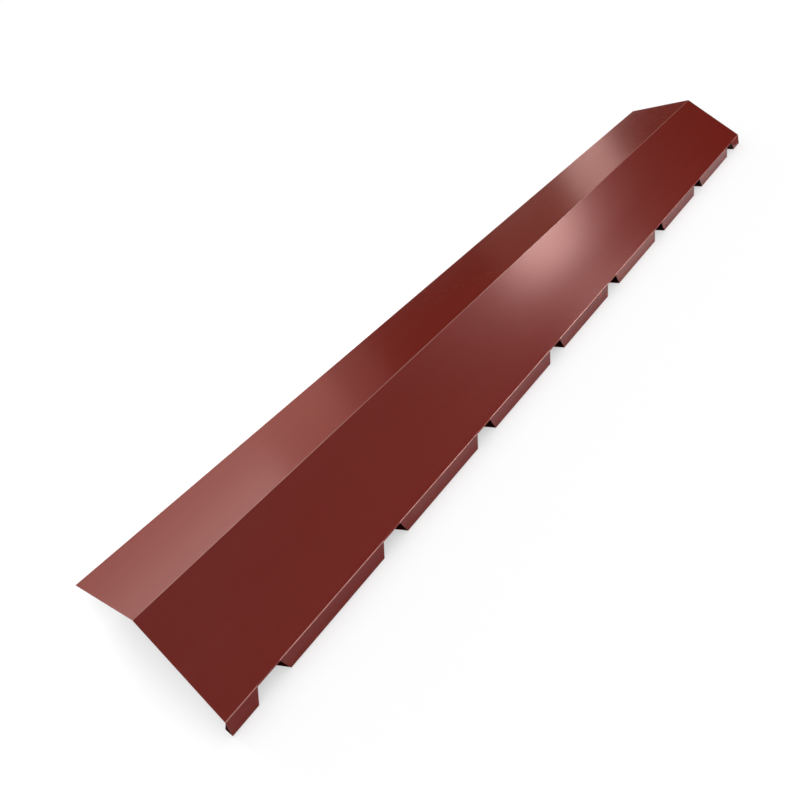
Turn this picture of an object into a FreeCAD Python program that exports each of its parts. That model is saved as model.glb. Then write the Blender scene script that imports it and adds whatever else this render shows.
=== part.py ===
"""Toothed ridge cap for a ribbed steel roof: one pre-painted sheet, folded and notched.

The ridge runs along X, the front wing falls towards -Y, and Z is up. The origin lies under the
middle of the ridge, on the level that the feet of both lips stand on. Each lip is the outer edge
of a wing folded down and then back in as a narrow foot, and its notches let the roof's ribs pass.
"""

import FreeCAD, Part
import math
import os

import Sketcher

# Driving dimensions: millimetres, and degrees where the meaning says so
SIZES = {
    "cap_length": (2000.0, "length of the cap along the ridge"),
    "sheet_thickness": (0.6, "thickness of the coated sheet"),
    "wing_flat": (168.5, "flat width of a wing between its bends"),
    "wing_slope": (24.0, "fall of a wing below level, degrees"),
    "ridge_radius": (2.0, "inside radius of the ridge bend"),
    "lip_fold": (47.0, "turn from a wing down into its lip, degrees"),
    "lip_flat": (24.0, "flat depth of a lip between its bends"),
    "foot_flat": (18.0, "flat width of the level foot turned in under a lip"),
    "foot_clip": (6.0, "corner clipped off a foot at each end of the cap"),
    "bend_radius": (1.2, "inside radius of the lip and foot bends"),
    "notch_pitch": (264.0, "spacing of the notches, and of the roof's ribs"),
    "notch_width": (41.0, "width of a notch across its top"),
    "notch_flare": (23.0, "lean of a notch's sides down the lip, degrees"),
    "foot_lean": (29.0, "lean of a notch's sides across the foot, degrees"),
    "fold_stub": (0.5, "height of lip left between its bend and a notch"),
    "end_tab": (40.0, "least lip left between the last notch and the end"),
    "back_inset": (17.0, "near end to the middle of the first back notch"),
}

# Numbers that the sketcher gives to a curve's points and to its own two axes
START, END, CENTRE = range(1, 4)
LEVEL_AXIS, UPRIGHT_AXIS = range(-1, -3, -1)


def size(alias):
    return SIZES[alias][0]


def add_sheet(doc):
    """Writes the driving dimensions into the document's spreadsheet."""
    sheet = doc.addObject("Spreadsheet::Sheet", "sizes")
    for row, (alias, (value, meaning)) in enumerate(SIZES.items(), start=1):
        sheet.set(f"A{row}", meaning)
        sheet.set(f"B{row}", str(value))
        sheet.setAlias(f"B{row}", alias)
    doc.recompute()


def origin_part(body, role):
    return next(part for part in body.Origin.OriginFeatures if part.Role == role)


def add_sketch(body, name, plane_role):
    sketch = body.newObject("Sketcher::SketchObject", name)
    sketch.AttachmentSupport = [(origin_part(body, plane_role), "")]
    sketch.MapMode = "FlatFace"
    return sketch


def hold(sketch, *terms):
    """Adds one geometric constraint and returns its number."""
    return sketch.addConstraint(Sketcher.Constraint(*terms))


def drive(sketch, name, formula, *terms):
    """Adds one dimension and binds it to a formula of the sheet's sizes."""
    number = hold(sketch, *terms)
    sketch.renameConstraint(number, name)
    sketch.setExpression(f"Constraints.{name}", formula)


def measure(sketch, name, kind, line, point, value):
    """Adds a dimension from the origin that only reads the drawing, for formulas elsewhere."""
    number = hold(sketch, kind, LEVEL_AXIS, START, line, point, value)
    sketch.setDriving(number, False)
    sketch.renameConstraint(number, name)


def heading(degrees):
    angle = math.radians(degrees)
    return FreeCAD.Vector(math.cos(angle), math.sin(angle), 0)


def bend_layout():
    """Gives the headings of the section before and after each bend, the inside radii, the flat
    runs that follow, and the bends' centres, walking from the ridge out to the foot's edge."""
    wing = -size("wing_slope")
    lip = wing - size("lip_fold")
    foot = -180
    headings = [0, wing, lip, foot]
    radii = [size("ridge_radius"), size("bend_radius"), size("bend_radius")]
    runs = [size("wing_flat"), size("lip_flat"), size("foot_flat")]
    centres = [FreeCAD.Vector()]
    for bend in range(2):
        outward = heading(headings[bend + 1] + 90)
        step = heading(headings[bend + 1]) * runs[bend]
        centres.append(centres[bend] + outward * (radii[bend] - radii[bend + 1]) + step)
    rise = size("bend_radius") + size("sheet_thickness") - centres[-1].y
    lifted = [centre + FreeCAD.Vector(0, rise, 0) for centre in centres]
    return headings, radii, runs, lifted


def trace_face(sketch, beyond):
    """Draws one face of the folded half sheet, lying beyond the bends' inside radii by that much.
    Returns the numbers of its bends and of its flat runs."""
    headings, radii, runs, centres = bend_layout()
    bends = []
    flats = []
    for bend, centre in enumerate(centres):
        radius = radii[bend] + beyond
        upright = FreeCAD.Vector(0, 0, 1)
        first = math.radians(headings[bend + 1] + 90)
        last = math.radians(headings[bend] + 90)
        arc = Part.ArcOfCircle(Part.Circle(centre, upright, radius), first, last)
        bends.append(sketch.addGeometry(arc))
        begin = centre + heading(headings[bend + 1] + 90) * radius
        finish = begin + heading(headings[bend + 1]) * runs[bend]
        flats.append(sketch.addGeometry(Part.LineSegment(begin, finish)))
    for bend, flat in zip(bends, flats):
        hold(sketch, "Tangent", bend, START, flat, START)
    for flat, bend in zip(flats, bends[1:]):
        hold(sketch, "Tangent", flat, END, bend, END)
    return bends, flats


def add_section(body):
    """Draws the right half of the folded sheet's section, from the ridge to the foot's edge."""
    sketch = add_sketch(body, "section", "YZ_Plane")
    outer_bends, outer_flats = trace_face(sketch, size("sheet_thickness"))
    inner_bends, inner_flats = trace_face(sketch, 0)
    for outer, inner in zip(outer_bends, inner_bends):
        hold(sketch, "Coincident", outer, CENTRE, inner, CENTRE)
    for outer, inner in zip(outer_flats, inner_flats):
        hold(sketch, "Parallel", outer, inner)

    # The section is closed at the ridge, on the upright axis, and at the foot's cut edge
    ridge_bend, lip_bend, foot_bend = inner_bends
    wing, lip, foot = outer_flats
    for point in ((ridge_bend, CENTRE), (ridge_bend, END), (outer_bends[0], END)):
        hold(sketch, "PointOnObject", *point, UPRIGHT_AXIS)
    closings = ((ridge_bend, outer_bends[0]), (inner_flats[-1], foot))
    joints = []
    for inner, outer in closings:
        ends = [sketch.getPoint(inner, END), sketch.getPoint(outer, END)]
        closing = sketch.addGeometry(Part.LineSegment(*ends))
        hold(sketch, "Coincident", closing, START, inner, END)
        hold(sketch, "Coincident", closing, END, outer, END)
        joints.append(closing)
    cut_edge = joints[1]
    hold(sketch, "Perpendicular", cut_edge, foot)
    hold(sketch, "Horizontal", foot)

    thickness = size("sheet_thickness")
    bend_radius = size("bend_radius")
    wing_angle = math.radians(-size("wing_slope"))
    lip_angle = wing_angle - math.radians(size("lip_fold"))
    drive(sketch, "thickness", "sizes.sheet_thickness", "Distance", cut_edge, thickness)
    drive(sketch, "ridge_radius", "sizes.ridge_radius", "Radius", ridge_bend, size("ridge_radius"))
    drive(sketch, "lip_radius", "sizes.bend_radius", "Radius", lip_bend, bend_radius)
    drive(sketch, "foot_radius", "sizes.bend_radius", "Radius", foot_bend, bend_radius)
    drive(sketch, "wing_flat", "sizes.wing_flat", "Distance", wing, size("wing_flat"))
    drive(sketch, "lip_flat", "sizes.lip_flat", "Distance", lip, size("lip_flat"))
    drive(sketch, "foot_flat", "sizes.foot_flat", "Distance", foot, size("foot_flat"))
    drive(sketch, "wing_angle", "-sizes.wing_slope * 1 deg", "Angle", wing, wing_angle)
    drive(sketch, "lip_angle", "-(sizes.wing_slope + sizes.lip_fold) * 1 deg", "Angle", lip, lip_angle)

    # The feet stand on the level axis, and two places are measured for the notches
    drive(sketch, "foot_height", "sizes.bend_radius + sizes.sheet_thickness",
          "DistanceY", LEVEL_AXIS, START, foot_bend, CENTRE, bend_radius + thickness)
    measure(sketch, "lip_top", "DistanceY", lip, START, sketch.getPoint(lip, START).y)
    measure(sketch, "foot_reach", "DistanceX", foot_bend, CENTRE, sketch.getPoint(foot_bend, CENTRE).x)
    return sketch


def fold_sheet(body):
    """Pads the half section along the ridge and mirrors it into the whole folded sheet."""
    half = body.newObject("PartDesign::Pad", "half_sheet")
    half.Profile = add_section(body)
    half.SideType = "Symmetric"
    half.setExpression("Length", "sizes.cap_length")
    body.Document.recompute()
    sheet = body.newObject("PartDesign::Mirrored", "folded_sheet")
    sheet.Originals = [half]
    sheet.MirrorPlane = (origin_part(body, "XZ_Plane"), [""])
    body.Tip = sheet
    body.Document.recompute()


def clip_feet(body):
    """Clips the inner corners of the feet at both ends, so that one cap can lap over the next."""
    sheet = body.Tip
    tallest = size("sheet_thickness") + Part.Precision.approximation()
    corners = []
    for number, edge in enumerate(sheet.Shape.Edges, start=1):
        box = edge.BoundBox
        upright = math.isclose(box.ZLength, edge.Length, rel_tol=Part.Precision.confusion())
        if upright and box.ZMax < tallest:
            corners.append(f"Edge{number}")
    clipped = body.newObject("PartDesign::Chamfer", "clipped_feet")
    clipped.Base = (sheet, corners)
    clipped.setExpression("Size", "sizes.foot_clip")
    body.Tip = clipped
    body.Document.recompute()
    print(f"{len(corners)} corners clipped off the feet")


def add_outline(body, name, plane_role, middle_formula, levels):
    """Draws an outline that is alike on both sides of its middle, from its first level to its last.
    Each level is a formula for its place on the upright axis and one for the outline's width there."""
    sketch = add_sketch(body, name, plane_role)
    places = [sketch.evalExpression(place).Value for place, _ in levels]
    halves = [sketch.evalExpression(width).Value / 2 for _, width in levels]
    right = [FreeCAD.Vector(half, place, 0) for half, place in zip(halves, places)]
    left = [FreeCAD.Vector(-point.x, point.y, 0) for point in reversed(right)]
    corners = right + left
    lines = []
    for begin, finish in zip(corners, corners[1:] + corners[:1]):
        lines.append(sketch.addGeometry(Part.LineSegment(begin, finish)))
    for line, following in zip(lines, lines[1:] + lines[:1]):
        hold(sketch, "Coincident", line, END, following, START)

    # A construction line down the middle keeps both sides alike
    ends = [FreeCAD.Vector(0, place, 0) for place in (places[0], places[-1])]
    middle = sketch.addGeometry(Part.LineSegment(*ends), True)
    hold(sketch, "Vertical", middle)
    hold(sketch, "PointOnObject", middle, START, lines[-1])
    hold(sketch, "PointOnObject", middle, END, lines[len(levels) - 1])
    drive(sketch, "place", middle_formula, "DistanceX", LEVEL_AXIS, START, middle, START, 0)
    for number, (place, width) in enumerate(levels):
        right_side = lines[number]
        left_side = lines[-1 - number]
        hold(sketch, "Symmetric", right_side, START, left_side, START, middle)
        drive(sketch, f"level_{number}", place,
              "DistanceY", LEVEL_AXIS, START, right_side, START, places[number])
        drive(sketch, f"width_{number}", width,
              "DistanceX", left_side, START, right_side, START, 2 * halves[number])
    return sketch


def cut_notches(body, row, side, middle_formula, count_formula):
    """Cuts one lip's row of notches, from the first one's middle towards the far end. A notch is cut
    through the lip from the front, flared, and through the foot from below, where it narrows again."""
    before = body.Tip.Shape.Volume
    lip_top = "section.Constraints.lip_top - sizes.fold_stub * 1 mm"
    lip_foot = "(sizes.bend_radius + sizes.sheet_thickness) * 1 mm"
    flare = "tan(sizes.notch_flare * 1 deg)"
    lean = "tan(sizes.foot_lean * 1 deg)"
    top_width = "sizes.notch_width * 1 mm"
    foot_width = f"{top_width} + 2 * ({lip_top} - {lip_foot}) * {flare}"
    inwards = "(sizes.foot_flat + sizes.bend_radius) * 1 mm"
    inner_width = f"{foot_width} - 2 * {inwards} * {lean}"
    reach = "section.Constraints.foot_reach"
    lip_levels = [(lip_top, top_width), (lip_foot, foot_width)]
    foot_levels = [
        (f"{side} * ({reach} + 2 * {lip_foot})", foot_width),
        (f"{side} * {reach}", foot_width),
        (f"{side} * ({reach} - {inwards})", inner_width),
    ]

    lip_notch = body.newObject("PartDesign::Pocket", f"{row}_lip_notch")
    lip_notch.Profile = add_outline(body, f"{row}_lip_outline", "XZ_Plane", middle_formula, lip_levels)
    lip_notch.Type = "ThroughAll"
    lip_notch.Reversed = side < 0
    body.Document.recompute()
    foot_notch = body.newObject("PartDesign::Pocket", f"{row}_foot_notch")
    foot_notch.Profile = add_outline(body, f"{row}_foot_outline", "XY_Plane", middle_formula, foot_levels)
    foot_notch.setExpression("Length", lip_foot)
    foot_notch.Reversed = True
    body.Document.recompute()

    notches = body.newObject("PartDesign::LinearPattern", f"{row}_notches")
    notches.Originals = [lip_notch, foot_notch]
    notches.Direction = (origin_part(body, "X_Axis"), [""])
    notches.Mode = "Spacing"
    notches.setExpression("Offset", "sizes.notch_pitch")
    notches.setExpression("Occurrences", count_formula)
    body.Tip = notches
    body.Document.recompute()
    removed = before - notches.Shape.Volume
    print(f"{row} row: {notches.Occurrences} notches, {removed:.1f} mm3 of sheet cut away")
    if removed <= 0:
        raise ValueError(f"the {row} row of notches cuts nothing")


def check(doc, body):
    for item in doc.Objects:
        if "Invalid" in item.State or "Error" in item.State:
            raise ValueError(f"{item.Name} failed: {item.State}")
        if item.isDerivedFrom("Sketcher::SketchObject") and not item.FullyConstrained:
            raise ValueError(f"{item.Name} is not fully constrained")
    shape = body.Shape
    if shape.isNull() or not shape.isValid() or len(shape.Solids) != 1:
        raise ValueError("the cap is not one valid solid")


def main():
    doc = FreeCAD.newDocument("ridge_cap")
    add_sheet(doc)
    body = doc.addObject("PartDesign::Body", "ridge_cap")
    body.Label = "ridge_cap"
    body.Placement = FreeCAD.Placement()
    fold_sheet(body)
    clip_feet(body)

    # The front row is centred on the cap, and the back row starts with a notch open to the near end
    front_count = "floor((sizes.cap_length - sizes.notch_width - 2 * sizes.end_tab) / sizes.notch_pitch) + 1"
    back_room = "sizes.cap_length - sizes.back_inset - sizes.notch_width / 2 - sizes.end_tab"
    back_count = f"floor(({back_room}) / sizes.notch_pitch) + 1"
    front_middle = f"-({front_count} - 1) * sizes.notch_pitch / 2"
    back_middle = "sizes.back_inset - sizes.cap_length / 2"
    cut_notches(body, "front", -1, front_middle, front_count)
    cut_notches(body, "back", 1, back_middle, back_count)

    check(doc, body)
    os.makedirs("parts", exist_ok=True)
    body.Shape.exportStep(f"parts/{body.Label}.step")
    box = body.Shape.BoundBox
    print(f"{body.Label}: {box.XLength:.2f} x {box.YLength:.2f} x {box.ZLength:.2f} mm, "
          f"lowest {box.ZMin:.4f}, volume {body.Shape.Volume:.1f} mm3")


main()
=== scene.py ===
# %% [markdown]
# # A roof ridge cap in pre-painted steel
# The real part is one thin sheet. A folding machine bends it along the ridge, turns both outer edges down
# as lips and in again as narrow feet, and a punch takes notches out of the lips for the ribs of the roof.
# The CAD part already has every size, so the script loads it first and keeps its box. Blender then only
# rolls the same sheet with finer bends, paints it and photographs it.

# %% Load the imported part
import math

import bmesh
import bpy
from mathutils import Matrix, Quaternion, Vector


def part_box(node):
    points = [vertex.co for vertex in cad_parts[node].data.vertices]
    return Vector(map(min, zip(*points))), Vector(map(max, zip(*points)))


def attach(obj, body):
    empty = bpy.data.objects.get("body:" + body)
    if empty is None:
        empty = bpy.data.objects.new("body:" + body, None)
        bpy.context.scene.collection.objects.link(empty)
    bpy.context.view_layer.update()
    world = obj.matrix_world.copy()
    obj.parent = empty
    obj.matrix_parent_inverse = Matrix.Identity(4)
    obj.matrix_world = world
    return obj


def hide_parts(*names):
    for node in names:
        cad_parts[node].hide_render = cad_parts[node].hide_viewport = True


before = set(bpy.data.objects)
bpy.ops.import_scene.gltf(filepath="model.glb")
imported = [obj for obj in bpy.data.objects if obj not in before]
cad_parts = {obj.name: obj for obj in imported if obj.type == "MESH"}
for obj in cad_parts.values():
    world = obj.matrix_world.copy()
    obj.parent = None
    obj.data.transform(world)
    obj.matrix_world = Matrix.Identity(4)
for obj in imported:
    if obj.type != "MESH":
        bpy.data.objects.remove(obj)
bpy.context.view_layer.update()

MM = 0.001
low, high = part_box("ridge_cap")
near_end, far_end, ridge_top = low.x, high.x, high.z
cap_length = far_end - near_end
print(f"cap: {cap_length:.3f} m long, {high.y - low.y:.4f} m wide, {ridge_top:.4f} m high")

# %% [markdown]
# ## The section, from the ridge to the foot
# A folded sheet is a line that was rolled round a few bends, so its section is drawn that way: one vertex
# on top of the ridge is spun round each bend and extruded along each flat. A bevelled box or a curve could
# give the same outline, but spin keeps each bend at its true radius. Every flat gets a short length
# next to each bend, so that smooth shading stays in the bend and the flat reflects like a flat.

# %% Helpers that walk along the section
SHEET = 0.6 * MM
BEND_STEP = math.radians(6)
BEND_MARGIN = 0.5 * MM


def draw_flat(bm, corner, fall, width):
    """Extrudes a flat that falls at this angle, out from the ridge, and returns its far vertex."""
    way = Vector((0, math.cos(fall), -math.sin(fall)))
    for length in (BEND_MARGIN, width - 2 * BEND_MARGIN, BEND_MARGIN):
        corner = bmesh.ops.extrude_vert_indiv(bm, verts=[corner])["verts"][0]
        bmesh.ops.translate(bm, verts=[corner], vec=way * length)
    return corner


def draw_bend(bm, corner, fall, turn, inside_radius):
    """Spins the sheet's outer face down round a bend and returns the last vertex."""
    inwards = Vector((0, -math.sin(fall), -math.cos(fall)))
    centre = corner.co + inwards * (inside_radius + SHEET)
    steps = math.ceil(turn / BEND_STEP)
    arc = bmesh.ops.spin(bm, geom=[corner], cent=centre, axis=(1, 0, 0), angle=-turn, steps=steps)
    return next(part for part in arc["geom_last"] if isinstance(part, bmesh.types.BMVert))


print(f"sheet: {SHEET / MM:.1f} mm thick, bends in steps of {math.degrees(BEND_STEP):.0f} degrees or less")

# %% Draw one half of the section
WING_SLOPE = math.radians(24)
LIP_FOLD = math.radians(47)
LIP_FALL = WING_SLOPE + LIP_FOLD
PLUMB = math.pi / 2
LEVEL_INWARDS = math.pi
RIDGE_RADIUS = 2.0 * MM
BEND_RADIUS = 1.2 * MM
WING_FLAT = 168.5 * MM
LIP_FLAT = 24 * MM
FOOT_FLAT = 18 * MM

sheet_bm = bmesh.new()
corner = sheet_bm.verts.new((near_end, 0, ridge_top))
corner = draw_bend(sheet_bm, corner, 0, WING_SLOPE, RIDGE_RADIUS)
corner = draw_flat(sheet_bm, corner, WING_SLOPE, WING_FLAT)
corner = draw_bend(sheet_bm, corner, WING_SLOPE, LIP_FOLD, BEND_RADIUS)
lip_top = corner.co.z
corner = draw_flat(sheet_bm, corner, LIP_FALL, LIP_FLAT)
corner = draw_bend(sheet_bm, corner, LIP_FALL, PLUMB - LIP_FALL, BEND_RADIUS)
foot_top = corner.co.z
corner = draw_bend(sheet_bm, corner, PLUMB, LEVEL_INWARDS - PLUMB, BEND_RADIUS)
foot_reach = corner.co.y
corner = draw_flat(sheet_bm, corner, LEVEL_INWARDS, FOOT_FLAT)
foot_edge = corner.co.y
print(f"half section: {len(sheet_bm.edges)} lengths, lip starts {lip_top / MM:.2f} mm up")

# %% [markdown]
# ## From a section to a sheet
# Both wings are alike, so the half section is mirrored across the ridge and then extruded along it. Both
# halves could be drawn, but a mirror keeps them alike. It can leave faces inside out, so the normals are
# recalculated before the sheet gets its thickness.

# %% Mirror the section and draw it out along the ridge
RIDGE_MERGE = 0.01 * MM

section = sheet_bm.verts[:] + sheet_bm.edges[:]
bmesh.ops.mirror(sheet_bm, geom=section, matrix=Matrix.Identity(4), merge_dist=RIDGE_MERGE, axis="Y")
drawn = bmesh.ops.extrude_edge_only(sheet_bm, edges=sheet_bm.edges[:])["geom"]
far_section = [part for part in drawn if isinstance(part, bmesh.types.BMVert)]
bmesh.ops.translate(sheet_bm, verts=far_section, vec=(cap_length, 0, 0))
bmesh.ops.recalc_face_normals(sheet_bm, faces=sheet_bm.faces[:])
widest = max(sheet_bm.faces, key=lambda face: face.calc_area())
if widest.normal.z < 0:
    bmesh.ops.reverse_faces(sheet_bm, faces=sheet_bm.faces[:])
print(f"plain sheet: {len(sheet_bm.faces)} faces")

# %% [markdown]
# ## Clipped feet
# Caps lap over one another along a roof, so the inner corner of each foot is clipped off at both ends. A
# shear makes a straight cut, so a plane cuts the faces and the loose ones are deleted. A Boolean would
# do it too, but a plane leaves clean faces and no slivers.

# %% Helpers that cut the sheet
CUT_SNAP = 0.001 * MM


def cut_faces(bm, wanted, place, normal):
    """Cuts the faces that are wanted along a plane and keeps both sides."""
    faces = [face for face in bm.faces if wanted(face.calc_center_median())]
    parts = set(faces)
    for face in faces:
        parts.update(face.edges)
        parts.update(face.verts)
    bmesh.ops.bisect_plane(bm, geom=list(parts), dist=CUT_SNAP, plane_co=place, plane_no=normal)


def delete_faces(bm, in_waste):
    """Deletes the faces whose middle lies in the waste."""
    waste = [face for face in bm.faces if in_waste(face.calc_center_median())]
    bmesh.ops.delete(bm, geom=waste, context="FACES")


print(f"cuts snap to corners within {CUT_SNAP / MM:.3f} mm")

# %% Clip the feet at both ends
FOOT_CLIP = 6 * MM


def clip_foot(bm, side, end):
    """Clips the inner corner off a foot at one end of the cap."""
    cut = Vector((end, side * (foot_edge + FOOT_CLIP), 0))
    away = Vector((math.copysign(1, end), -side, 0)).normalized()
    cut_faces(bm, lambda p: p.z < foot_top and 0 < p.y * side < foot_reach, cut, away)
    delete_faces(bm, lambda p: p.z < foot_top and p.y * side > 0 and (p - cut).dot(away) > 0)


for side in (-1, 1):
    for end in (near_end, far_end):
        clip_foot(sheet_bm, side, end)
print(f"feet clipped by {FOOT_CLIP / MM:.0f} mm, {len(sheet_bm.faces)} faces left")

# %% [markdown]
# ## Notches for the ribs
# A punch leaves straight cuts too, so the notches are cut in the same way. A notch reaches up almost to the
# fold of the lip and flares down to the foot. Across the foot it narrows again, with a steeper lean.
# The front row is centred on the cap. The back row is shifted, so that a notch opens at the near end.

# %% Helpers for the notches
NOTCH_PITCH = 264 * MM
NOTCH_WIDTH = 41 * MM
NOTCH_FLARE = math.radians(23)
FOOT_LEAN = math.radians(29)
FOLD_STUB = 0.5 * MM

notch_top = lip_top - FOLD_STUB


def half_width(place):
    """Half a notch's width at a place on the lip, or on the foot below it."""
    down = notch_top - max(place.z, foot_top)
    inwards = max(foot_reach - abs(place.y), 0) if place.z < foot_top else 0
    return NOTCH_WIDTH / 2 + down * math.tan(NOTCH_FLARE) - inwards * math.tan(FOOT_LEAN)


def cut_notch(bm, side, middle):
    """Cuts one notch into the lip on the front (side -1) or the back (side 1)."""
    fold_line = Vector((0, side * foot_reach, 0))
    for hand in (-1, 1):
        top_corner = Vector((middle + hand * NOTCH_WIDTH / 2, 0, notch_top))
        fold_corner = fold_line + Vector((middle + hand * half_width(fold_line), 0, 0))
        flared = (math.cos(NOTCH_FLARE), 0, hand * math.sin(NOTCH_FLARE))
        leaning = (math.cos(FOOT_LEAN), -side * hand * math.sin(FOOT_LEAN), 0)
        cut_faces(bm, lambda p: p.y * side > 0 and p.z > notch_top, top_corner, (1, 0, 0))
        cut_faces(bm, lambda p: p.y * side > 0 and foot_top < p.z < notch_top, top_corner, flared)
        cut_faces(bm, lambda p: p.z < foot_top and p.y * side > foot_reach, fold_corner, (1, 0, 0))
        cut_faces(bm, lambda p: p.z < foot_top and 0 < p.y * side < foot_reach, fold_corner, leaning)
    delete_faces(
        bm, lambda p: p.y * side > 0 and p.z < notch_top and abs(p.x - middle) < half_width(p))


widest_notch = 2 * half_width(Vector((0, foot_reach, 0)))
print(f"a notch is {NOTCH_WIDTH / MM:.0f} mm wide at its top and {widest_notch / MM:.1f} mm at the foot")

# %% Cut both rows
BACK_INSET = 17 * MM

notches = math.floor(cap_length / NOTCH_PITCH) + 1
cut_faces(sheet_bm, lambda p: p.z < lip_top, (0, 0, notch_top), (0, 0, 1))
front_middles = [(number - (notches - 1) / 2) * NOTCH_PITCH for number in range(notches)]
back_middles = [near_end + BACK_INSET + number * NOTCH_PITCH for number in range(notches)]
for middle in front_middles:
    cut_notch(sheet_bm, -1, middle)
for middle in back_middles:
    cut_notch(sheet_bm, 1, middle)
print(f"{notches} notches in each lip, {len(sheet_bm.faces)} faces left")

# %% [markdown]
# ## Painted highlights on the folds
# A thin pale line of paint along the ridge and along the fold of each lip is a painted highlight, for the
# glint of these tight bends. The fold of a lip gets a stronger one than the ridge. Above a notch the fold is
# free of its lip: it gets no painted highlight there, and the punch has rubbed it dull. Both could be
# painted by hand, but every face knows its own fall, so each keeps its share in an attribute, which the
# material reads later.

# %% Mark the painted fold highlights and the rubbed faces
# Shares of the pale fold colour, a painted highlight, on the ridge and on the lip folds
RIDGE_PAINTED_HIGHLIGHT = 0.18
LIP_PAINTED_HIGHLIGHT = 0.35
FALL_SLACK = 0.01

painted_fold_highlight = sheet_bm.faces.layers.float.new("painted_fold_highlight")
punch_scuff = sheet_bm.faces.layers.float.new("punch_scuff")
for face in sheet_bm.faces:
    fall = face.normal.angle(Vector((0, 0, 1)))
    place = face.calc_center_median()
    middles = front_middles if place.y < 0 else back_middles
    if fall < WING_SLOPE - FALL_SLACK:
        face[painted_fold_highlight] = RIDGE_PAINTED_HIGHLIGHT
    elif WING_SLOPE + FALL_SLACK < fall < LIP_FALL - FALL_SLACK:
        freed = any(abs(place.x - middle) < NOTCH_WIDTH / 2 for middle in middles)
        face[painted_fold_highlight] = 0 if freed else LIP_PAINTED_HIGHLIGHT
        face[punch_scuff] = 1 if freed else 0
highlight_painted = [face for face in sheet_bm.faces if face[painted_fold_highlight] > 0]
rubbed = [face for face in sheet_bm.faces if face[punch_scuff] > 0]
print(f"{len(highlight_painted)} stretched faces and {len(rubbed)} rubbed ones")

# %% [markdown]
# ## Thickness and cut edges
# The faces so far are the outside of the sheet. Solidify grows the thickness inwards, and its rim is the
# cut edge, which gets its own material. The faces could be extruded too, but Solidify keeps the wall even
# round a bend. A shear leaves an edge that is a little rounded, so a very small bevel on the sharp edges
# lets them catch the light.

# %% Make the sheet an object
EDGE_ROUND = 0.08 * MM
EDGE_STEPS = 2
SHARP_TURN = math.radians(40)

sheet_mesh = bpy.data.meshes.new("folded_sheet")
sheet_bm.to_mesh(sheet_mesh)
sheet_bm.free()
for polygon in sheet_mesh.polygons:
    polygon.use_smooth = True
sheet = bpy.data.objects.new("folded_sheet", sheet_mesh)
bpy.context.scene.collection.objects.link(sheet)

wall = sheet.modifiers.new("sheet_thickness", "SOLIDIFY")
wall.thickness = SHEET
wall.offset = -1
wall.use_even_offset = True
wall.material_offset = 2
wall.material_offset_rim = 1

worn_edge = sheet.modifiers.new("sheared_edge", "BEVEL")
worn_edge.width = EDGE_ROUND
worn_edge.segments = EDGE_STEPS
worn_edge.limit_method = "ANGLE"
worn_edge.angle_limit = SHARP_TURN
worn_edge.harden_normals = True

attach(sheet, "root")
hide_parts("ridge_cap")
print(f"folded sheet: {SHEET / MM} mm thick")

# %% [markdown]
# ## Finishes
# A finish is built from nodes, so helpers come first: one turns a hex colour from a colour card into
# the linear colour that shaders use, one adds a node with its settings and links, and one starts a material.

# %% Helpers for materials


def linear(code):
    """Turns an sRGB hex colour into a linear colour."""
    channels = [int(code[start:start + 2], 16) / 255 for start in (1, 3, 5)]
    return [c / 12.92 if c <= 0.04045 else ((c + 0.055) / 1.055) ** 2.4 for c in channels] + [1]


def add_node(tree, kind, values=None, links=None, **settings):
    """Adds a node, sets its own settings and its sockets' values, and links sockets to their sources."""
    node = tree.nodes.new(kind)
    for name, value in settings.items():
        setattr(node, name, value)
    for socket, value in (values or {}).items():
        node.inputs[socket].default_value = value
    for socket, source in (links or {}).items():
        tree.links.new(source, node.inputs[socket])
    return node


def new_material(name):
    """An empty node material: its tree, its output node and the material."""
    material = bpy.data.materials.new(name)
    material.use_nodes = True
    material.node_tree.nodes.clear()
    return material.node_tree, add_node(material.node_tree, "ShaderNodeOutputMaterial"), material


print("a middle grey of #808080 is", round(linear("#808080")[0], 3), "in linear light")

# %% [markdown]
# ### The coat
# The sheet is coil-coated: a roller lays on an oxide-red polyester before the sheet is folded. The eye gets
# an even, deep red with a satin gloss. Close up, the roller leaves a faint peel, a few millimetres
# across, and very faint streaks along the coil. One image of a painted sheet could give that, but noise
# in real millimetres fits any length of cap. One attribute paints the folds' highlight lines, the other
# dulls the rubbed faces.

# %% Coil-coated polyester on steel
PEEL_SIZE = 3 * MM
PEEL_DEPTH = 0.1 * MM
PEEL_STRENGTH = 0.003
STREAK_WIDTH = 25 * MM
STREAK_LENGTH = 400 * MM
SATIN_LEAST = 0.18
SATIN_MOST = 0.22
RUBBED_DULL = 0.7

tree, output, coat = new_material("coil_coated_polyester")
place = add_node(tree, "ShaderNodeTexCoord").outputs["Object"]
along_coil = add_node(
    tree, "ShaderNodeMapping",
    {"Scale": (1 / STREAK_LENGTH, 1 / STREAK_WIDTH, 1 / STREAK_WIDTH)}, {"Vector": place})
streaks = add_node(
    tree, "ShaderNodeTexNoise", {"Scale": 1, "Detail": 3}, {"Vector": along_coil.outputs["Vector"]})
peel = add_node(tree, "ShaderNodeTexNoise", {"Scale": 1 / PEEL_SIZE, "Detail": 2}, {"Vector": place})
colour = add_node(
    tree, "ShaderNodeMix", {"A": linear("#611912"), "B": linear("#651D15")},
    {"Factor": streaks.outputs["Fac"]}, data_type="RGBA")
fold_highlight_share = add_node(tree, "ShaderNodeAttribute", attribute_name="painted_fold_highlight")
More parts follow.
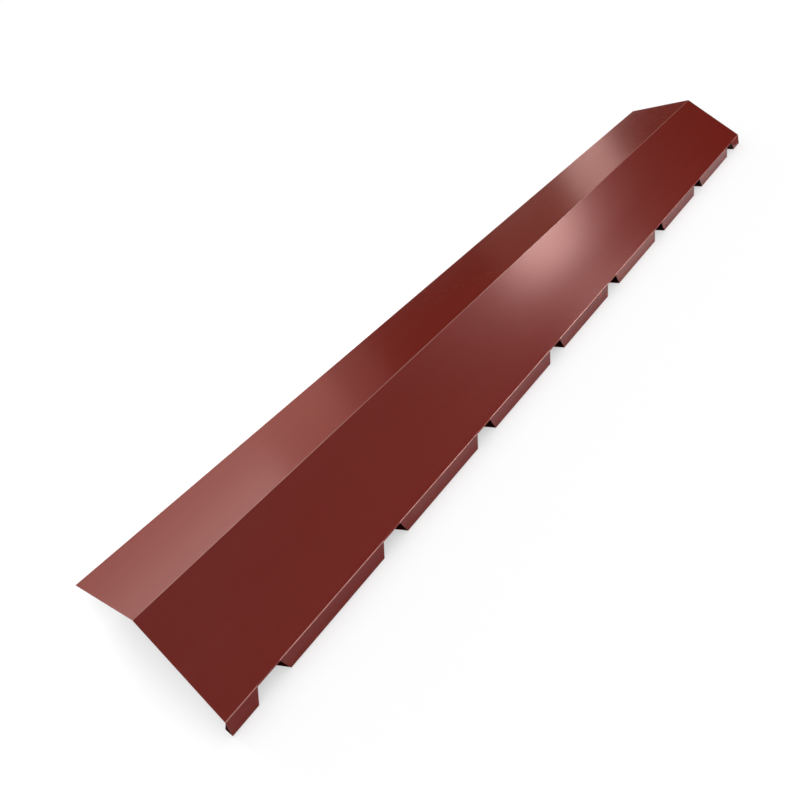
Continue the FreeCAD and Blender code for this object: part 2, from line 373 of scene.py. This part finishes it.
# The pale colour on the folds is a painted highlight, not the coat's own colour
painted_highlight_colour = add_node(
    tree, "ShaderNodeMix", {"B": linear("#D6ABA2")},
    {"Factor": fold_highlight_share.outputs["Fac"], "A": colour.outputs["Result"]}, data_type="RGBA")
gloss = add_node(
    tree, "ShaderNodeMapRange", {"To Min": SATIN_LEAST, "To Max": SATIN_MOST},
    {"Value": streaks.outputs["Fac"]})
scuff = add_node(tree, "ShaderNodeAttribute", attribute_name="punch_scuff")
dulled = add_node(
    tree, "ShaderNodeMix", {"B": RUBBED_DULL},
    {"Factor": scuff.outputs["Fac"], "A": gloss.outputs["Result"]})
relief = add_node(
    tree, "ShaderNodeBump", {"Strength": PEEL_STRENGTH, "Distance": PEEL_DEPTH},
    {"Height": peel.outputs["Fac"]})
shader = add_node(
    tree, "ShaderNodeBsdfPrincipled",
    {"IOR": 1.5, "Specular IOR Level": 0.3},
    {"Base Color": painted_highlight_colour.outputs["Result"], "Roughness": dulled.outputs["Result"],
     "Normal": relief.outputs["Normal"]})
tree.links.new(shader.outputs["BSDF"], output.inputs["Surface"])
sheet_mesh.materials.append(coat)
print(f"{coat.name}: {len(tree.nodes)} nodes, streaks {STREAK_WIDTH / MM:.0f} mm wide")

# %% [markdown]
# ### The cut edge
# Shears and punches cut through the coat, the zinc and the steel, and smear some of the red over the cut.
# The eye gets a thin, dull, pinkish line with a weak metallic shine. A plain grey metal would be too
# clean, so noise mixes the smeared red with the paler zinc. Real shear marks are finer than this. They
# are drawn coarser, so that they show close up.

# %% Sheared galvanised steel
SHEAR_MARK = 0.4 * MM

tree, output, bare_edge = new_material("sheared_galvanised_steel")
place = add_node(tree, "ShaderNodeTexCoord").outputs["Object"]
marks = add_node(
    tree, "ShaderNodeTexNoise", {"Scale": 1 / SHEAR_MARK, "Detail": 2}, {"Vector": place})
colour = add_node(
    tree, "ShaderNodeMix", {"A": linear("#6E3B34"), "B": linear("#9A746E")},
    {"Factor": marks.outputs["Fac"]}, data_type="RGBA")
shader = add_node(
    tree, "ShaderNodeBsdfPrincipled", {"Metallic": 0.4, "Roughness": 0.5},
    {"Base Color": colour.outputs["Result"]})
tree.links.new(shader.outputs["BSDF"], output.inputs["Surface"])
sheet_mesh.materials.append(bare_edge)
print(f"{bare_edge.name}: {len(tree.nodes)} nodes, marks {SHEAR_MARK / MM:.1f} mm apart")

# %% [markdown]
# ### The backing coat
# The reverse side gets a coat of its own, duller than the face and mottled where it ran thin. Its very dark
# red is a painted shade, so that the hollow under the cap looks deep. The face's own red could go on both
# sides, but the feet, which show their reverse side at every notch, would then be too bright.

# %% Backing coat, darkened as a painted shade
MOTTLE_SIZE = 12 * MM

tree, output, backing = new_material("backing_coat_painted_shade")
place = add_node(tree, "ShaderNodeTexCoord").outputs["Object"]
mottle = add_node(tree, "ShaderNodeTexNoise", {"Scale": 1 / MOTTLE_SIZE, "Detail": 3}, {"Vector": place})
# The backing's very dark red is a painted shade for the hollow under the cap
colour = add_node(
    tree, "ShaderNodeMix", {"A": linear("#3A100A"), "B": linear("#441610")},
    {"Factor": mottle.outputs["Fac"]}, data_type="RGBA")
shader = add_node(
    tree, "ShaderNodeBsdfPrincipled", {"IOR": 1.5, "Specular IOR Level": 0.1, "Roughness": 0.55},
    {"Base Color": colour.outputs["Result"]})
tree.links.new(shader.outputs["BSDF"], output.inputs["Surface"])
sheet_mesh.materials.append(backing)
print("finishes:", [material.name for material in sheet_mesh.materials])

# %% [markdown]
# ## The studio
# The photograph was taken on white in very even light. White paper on the floor and a white world give the
# background. The camera, gloss and glass see the world as plain white, and the paper as partly
# glowing. Other rays get much less light from the world, so the lamps do the shading, and the paper
# keeps the cap's shadow. A brighter lamp could whiten the floor too, but it would bleach the cap.

# %% White paper on the floor
FLOOR_SIZE = 40
FLOOR_GLOW = 0.55
WHITE = (1, 1, 1, 1)


def seen_share(tree, share):
    """A factor of this size for rays from the camera, from gloss and from glass, and 0 for other rays."""
    path = add_node(tree, "ShaderNodeLightPath")
    seen = path.outputs["Is Camera Ray"]
    for kind in ("Is Glossy Ray", "Is Transmission Ray"):
        seen = add_node(
            tree, "ShaderNodeMath", links={0: seen, 1: path.outputs[kind]}, operation="MAXIMUM").outputs[0]
    return add_node(tree, "ShaderNodeMath", {1: share}, {0: seen}, operation="MULTIPLY").outputs[0]


def level_outline(left, right, front, back, height):
    """The corners of a level rectangle."""
    return [(left, front, height), (right, front, height), (right, back, height), (left, back, height)]


def add_card(name, material, corners):
    """A flat four-cornered sheet of the studio, which isn't part of the object."""
    bm = bmesh.new()
    bm.faces.new([bm.verts.new(corner) for corner in corners])
    mesh = bpy.data.meshes.new(name)
    bm.to_mesh(mesh)
    bm.free()
    mesh.materials.append(material)
    card = bpy.data.objects.new(name, mesh)
    bpy.context.scene.collection.objects.link(card)
    return card


tree, output, paper = new_material("matt_white_paper")
matt = add_node(tree, "ShaderNodeBsdfDiffuse", {"Color": linear("#F5F5F5")})
white = add_node(tree, "ShaderNodeEmission", {"Color": WHITE, "Strength": 1})
shader = add_node(
    tree, "ShaderNodeMixShader",
    links={0: seen_share(tree, FLOOR_GLOW), 1: matt.outputs["BSDF"], 2: white.outputs["Emission"]})
tree.links.new(shader.outputs["Shader"], output.inputs["Surface"])
half_floor = FLOOR_SIZE / 2
floor = add_card("floor", paper, level_outline(-half_floor, half_floor, -half_floor, half_floor, 0))
print(f"{floor.name}: {FLOOR_SIZE} m of {paper.name}")

# %% White world
WORLD_FILL = 0.2

world = bpy.data.worlds.new("white_room")
world.use_nodes = True
tree = world.node_tree
tree.nodes.clear()
fill = add_node(tree, "ShaderNodeBackground", {"Color": WHITE, "Strength": WORLD_FILL})
white = add_node(tree, "ShaderNodeBackground", {"Color": WHITE, "Strength": 1})
shader = add_node(
    tree, "ShaderNodeMixShader",
    links={0: seen_share(tree, 1), 1: fill.outputs["Background"], 2: white.outputs["Background"]})
output = add_node(tree, "ShaderNodeOutputWorld", links={"Surface": shader.outputs["Shader"]})
bpy.context.scene.world = world
print(f"{world.name}: strength 1 where it is seen, {WORLD_FILL} as light")

# %% [markdown]
# ### Cloths that only gloss sees
# Painted steel mirrors its surroundings, and a white room would wash out its red. A photographer hangs dark
# cloth where the metal should stay deep in colour and paler cloth where it may be lighter, and so does this
# script. The strips in front of the cap lie on the floor that its lips mirror, one tone after another. Their
# greys are a painted shade: they stand in for the floor's shade beside the lips, as the lips mirror it. A
# painted world could do the same, but cloths are easier to move. They show in gloss and nowhere else.

# %% Dye the cloths
CLOTH_COLOURS = {
    "black": "#000000",
    "grey": "#9A9A9A",
    "slate": "#606060",
    "ash": "#C6C6C6",
    "pale": "#DCDCDC",
    "cream": "#FFF2EC",
    "sand": "#A88474",
    "umber": "#5C372A",
}


def dye_cloth(name, colour):
    """A matt cloth of one colour."""
    tree, output, cloth = new_material(name)
    shader = add_node(tree, "ShaderNodeBsdfDiffuse", {"Color": linear(colour)})
    tree.links.new(shader.outputs["BSDF"], output.inputs["Surface"])
    return cloth


cloths = {name: dye_cloth(f"{name}_cloth", colour) for name, colour in CLOTH_COLOURS.items()}
print(len(cloths), "cloths dyed")

# %% Hang the cloths
ROOM_HEIGHT = 3
ROOM_FRONT = -5
ROOM_BACK = 3
ROOM_NEAR = -4
ROOM_END = 10
CEILING_NEAR = -2
CEILING_JOIN = 4.5
BACK_JOINS = (3.15, 5.4)
FLOOR_CLOTH_NEAR = -1.5
FLOOR_CLOTH_FRONT = 0.4
FLOOR_CLOTH_LIFT = 2 * MM
FRONT_CLOTH_REACH = -1
FRONT_CLOTH_LIFT = 1 * MM
FRONT_CLOTH_GAP = 0.5 * MM


def hang_cloth(name, colour, corners):
    """A cloth that shows in gloss and nowhere else."""
    card = add_card(name, cloths[colour], corners)
    card.visible_camera = False
    card.visible_diffuse = False
    card.visible_shadow = False
    card.visible_transmission = False


def ceiling_outline(left, right):
    """The corners of a cloth under the ceiling."""
    return level_outline(left, right, ROOM_FRONT, ROOM_BACK, ROOM_HEIGHT)


def upright_outline(start, stop):
    """The corners of a cloth that hangs from the ceiling to the floor between two places."""
    foot = [(*start, 0), (*stop, 0)]
    return foot + [(*stop, ROOM_HEIGHT), (*start, ROOM_HEIGHT)]


hang_cloth("near_ceiling", "grey", ceiling_outline(CEILING_NEAR, CEILING_JOIN))
hang_cloth("far_ceiling", "black", ceiling_outline(CEILING_JOIN, ROOM_END))
hang_cloth("end_wall", "black", upright_outline((ROOM_END, ROOM_FRONT), (ROOM_END, ROOM_BACK)))
for name, colour, start, stop in (
        ("near_back", "black", ROOM_NEAR, BACK_JOINS[0]),
        ("middle_back", "sand", BACK_JOINS[0], BACK_JOINS[1]),
        ("far_back", "umber", BACK_JOINS[1], ROOM_END)):
    hang_cloth(name, colour, upright_outline((start, ROOM_BACK), (stop, ROOM_BACK)))
hang_cloth("floor_cloth", "black", [
    (FLOOR_CLOTH_NEAR, FLOOR_CLOTH_FRONT, FLOOR_CLOTH_LIFT), (ROOM_END, FLOOR_CLOTH_FRONT, FLOOR_CLOTH_LIFT),
    (ROOM_END, ROOM_BACK, FLOOR_CLOTH_LIFT), (ROOM_NEAR, ROOM_BACK, FLOOR_CLOTH_LIFT)])
# The strips in front are a painted shade of the floor beside the lips, seen only in the lips' gloss
front_edge = low.y - FRONT_CLOTH_GAP
for name, colour, start, stop in (
        ("near_front", "ash", -1.5, -0.6),
        ("middle_front", "pale", -0.6, 0.18),
        ("bright_front", "cream", 0.18, 0.42),
        ("far_front", "pale", 0.42, 1),
        ("end_front", "slate", 1, 2)):
    hang_cloth(name, colour, level_outline(start, stop, FRONT_CLOTH_REACH, front_edge, FRONT_CLOTH_LIFT))
print(f"cloths hung from {ROOM_HEIGHT} m, and laid up to {-front_edge / MM:.1f} mm from the ridge in front")

# %% [markdown]
# ### Soft boxes along the wings
# A satin coat shows its lamps as soft bright bands. The photograph has one on the front wing and two on the
# back wing, so each has a soft box where a mirror would show it. A skirt is a weaker box beside a bright
# one, and makes a band fade out slowly. The left core is a smaller, brighter box in front of the left box.
# The boxes act in gloss alone, so they don't change the floor. Paler paint in the material could fake the
# bands, but they would stay put when the view changes.

# %% Lamps for the wings
# The watts that give a square metre of soft box a radiance of 1
WATTS_PER_RADIANCE = 4
CAP_MIDDLE = (0.1, 0, 0.1)


def add_lamp(name, place, aim, width, height, radiance, colour):
    """A soft box of this brightness, from its place towards what it lights."""
    lamp = bpy.data.lights.new(name, "AREA")
    lamp.shape = "RECTANGLE"
    lamp.size = width
    lamp.size_y = height
    lamp.energy = radiance * WATTS_PER_RADIANCE * width * height
    lamp.color = linear(colour)[:3]
    box = bpy.data.objects.new(name, lamp)
    box.location = place
    box.rotation_euler = (Vector(aim) - Vector(place)).to_track_quat("-Z", "Y").to_euler()
    box.visible_camera = False
    box.visible_diffuse = False
    bpy.context.scene.collection.objects.link(box)
    return box


add_lamp("key_lamp", place=(3.39, -0.64, 2.9), aim=CAP_MIDDLE,
         width=0.62, height=0.8, radiance=16, colour="#FFD0CA")
add_lamp("key_skirt", place=(3.7, -1.5, 2.9), aim=CAP_MIDDLE,
         width=0.6, height=0.9, radiance=4.5, colour="#FFD0CA")
add_lamp("left_box", place=(-0.25, 2.95, 0.5), aim=(-0.25, 0, 0.5),
         width=3.06, height=1.0, radiance=1.4, colour="#FFB5AA")
add_lamp("left_skirt", place=(1.47, 2.95, 0.5), aim=(1.47, 0, 0.5),
         width=0.38, height=1.0, radiance=0.5, colour="#FFB5AA")
add_lamp("left_core", place=(-0.14, 2.9, 0.8), aim=(-0.14, 0, 0.8),
         width=1.52, height=0.75, radiance=2.05, colour="#FFE2DB")
add_lamp("strip_box", place=(4.97, 2.95, 0.6), aim=(4.97, 0, 0.6),
         width=0.92, height=1.2, radiance=1.35, colour="#FFD0C8")
print("lamps for the wings:", [lamp.name for lamp in bpy.data.lights])

# %% [markdown]
# ### Fill for the lips and for the floor
# The lips face away from the light above, so a wide box fills them from the front. A low box behind
# lightens the floor under the near back corner, where a notch leaves it open. In a studio, flags on stands
# would keep the first box off the floor, where it would wash out the shadows, and the second off the
# cap. Light linking does that here: a lamp lights only what is in its own collection.

# %% Lamps that light one thing only


def light_only(lamp, piece):
    """Keeps a lamp's light on one piece, as a flag on a stand does, and its glare out of the gloss."""
    lit = bpy.data.collections.new(f"lit_by_{lamp.name}")
    lit.objects.link(piece)
    lamp.light_linking.receiver_collection = lit
    lamp.visible_diffuse = True
    lamp.visible_glossy = False


front_fill = add_lamp("front_fill", place=(0.4, -2.6, 0.5), aim=(0.2, 0, 0.1),
                      width=3.5, height=0.9, radiance=3.9, colour="#FFDCD4")
light_only(front_fill, sheet)
back_glow = add_lamp("back_glow", place=(-0.8, 1.7, 0.3), aim=(-0.8, 0, 0.3),
                     width=0.9, height=0.5, radiance=32, colour="#FFFFFF")
light_only(back_glow, floor)
print(f"{front_fill.name} lights {sheet.name}, {back_glow.name} lights {floor.name}")

# %% [markdown]
# ### Soft boxes for the folds
# The ridge and the folds of the lips are narrow bends that turn through many directions, so each finds some
# lamp to mirror and shows a thin bright line. Two boxes overhead are there for the ridge and two in front
# for the folds of the lips. A thin pale stripe of paint could fake such a line, but a mirrored lamp moves
# with the view, as a real one does.

# %% Lamps for the folds
add_lamp("ridge_card", place=(0.3, 1.5, 2.9), aim=(0.3, 1.5, 0),
         width=1.6, height=1.6, radiance=7, colour="#FFE2DB")
add_lamp("ridge_core", place=(3.8, 1.3, 2.9), aim=(3.8, 1.3, 0),
         width=0.8, height=1.6, radiance=22, colour="#FFE2DB")
add_lamp("edge_card", place=(1.5, -1.75, 0.75), aim=(-0.1, -0.16, 0.02),
         width=1.5, height=0.5, radiance=25, colour="#FFD8D0")
add_lamp("edge_skirt", place=(0.2, -1.85, 0.75), aim=(-0.7, -0.16, 0.02),
         width=1.4, height=0.5, radiance=22, colour="#FFD0C8")
print(len(bpy.data.lights), "lamps so far")

# %% [markdown]
# ### One soft light from above
# A sun lamp with a very wide spread is like an overcast sky. It lights the paper and the coat evenly, and
# gives the cap its soft contact shadow, which falls a little to the front. A big area lamp could do that
# too, but its light would fall off towards the rim of the floor.

# %% Overhead light
OVERHEAD_SPREAD = math.radians(110)
OVERHEAD_STRENGTH = 3.25
OVERHEAD_WAY = Vector((0.1, -0.45, -0.81))

overhead = bpy.data.lights.new("overhead_light", "SUN")
overhead.angle = OVERHEAD_SPREAD
overhead.energy = OVERHEAD_STRENGTH
overhead_light = bpy.data.objects.new("overhead_light", overhead)
overhead_light.rotation_euler = OVERHEAD_WAY.to_track_quat("-Z", "Y").to_euler()
bpy.context.scene.collection.objects.link(overhead_light)
print(f"{overhead.name}: spread over {math.degrees(OVERHEAD_SPREAD):.0f} degrees")

# %% [markdown]
# ## The camera
# The place, the aim and the lens were worked out from where the cap's corners lie in the photograph. The
# photograph's own middle lies above and to the left of the picture's, as in a cropped picture, so
# the lens is shifted a little.

# %% Camera at the photograph's angle
CAMERA_PLACE = Vector((-1.1967, -0.5832, 0.9759))
CAMERA_AIM = Vector((-0.1973, 0.2483, 0))
CAMERA_ROLL = math.radians(2.99)
SENSOR_WIDTH = 36
FOCAL_LENGTH = 33.64
SHIFT_RIGHT = 0.0375
SHIFT_UP = -0.125

camera_data = bpy.data.cameras.new("photo_camera")
camera_data.sensor_width = SENSOR_WIDTH
camera_data.lens = FOCAL_LENGTH
camera_data.shift_x = SHIFT_RIGHT
camera_data.shift_y = SHIFT_UP
camera = bpy.data.objects.new("photo_camera", camera_data)
bpy.context.scene.collection.objects.link(camera)
aim = (CAMERA_AIM - CAMERA_PLACE).normalized()
unrolled = aim.to_track_quat("-Z", "Y")
camera.rotation_euler = (Quaternion(aim, CAMERA_ROLL) @ unrolled).to_euler()
camera.location = CAMERA_PLACE
bpy.context.scene.camera = camera
bpy.context.scene.view_settings.view_transform = "Standard"
print("camera", [round(value, 3) for value in CAMERA_PLACE])
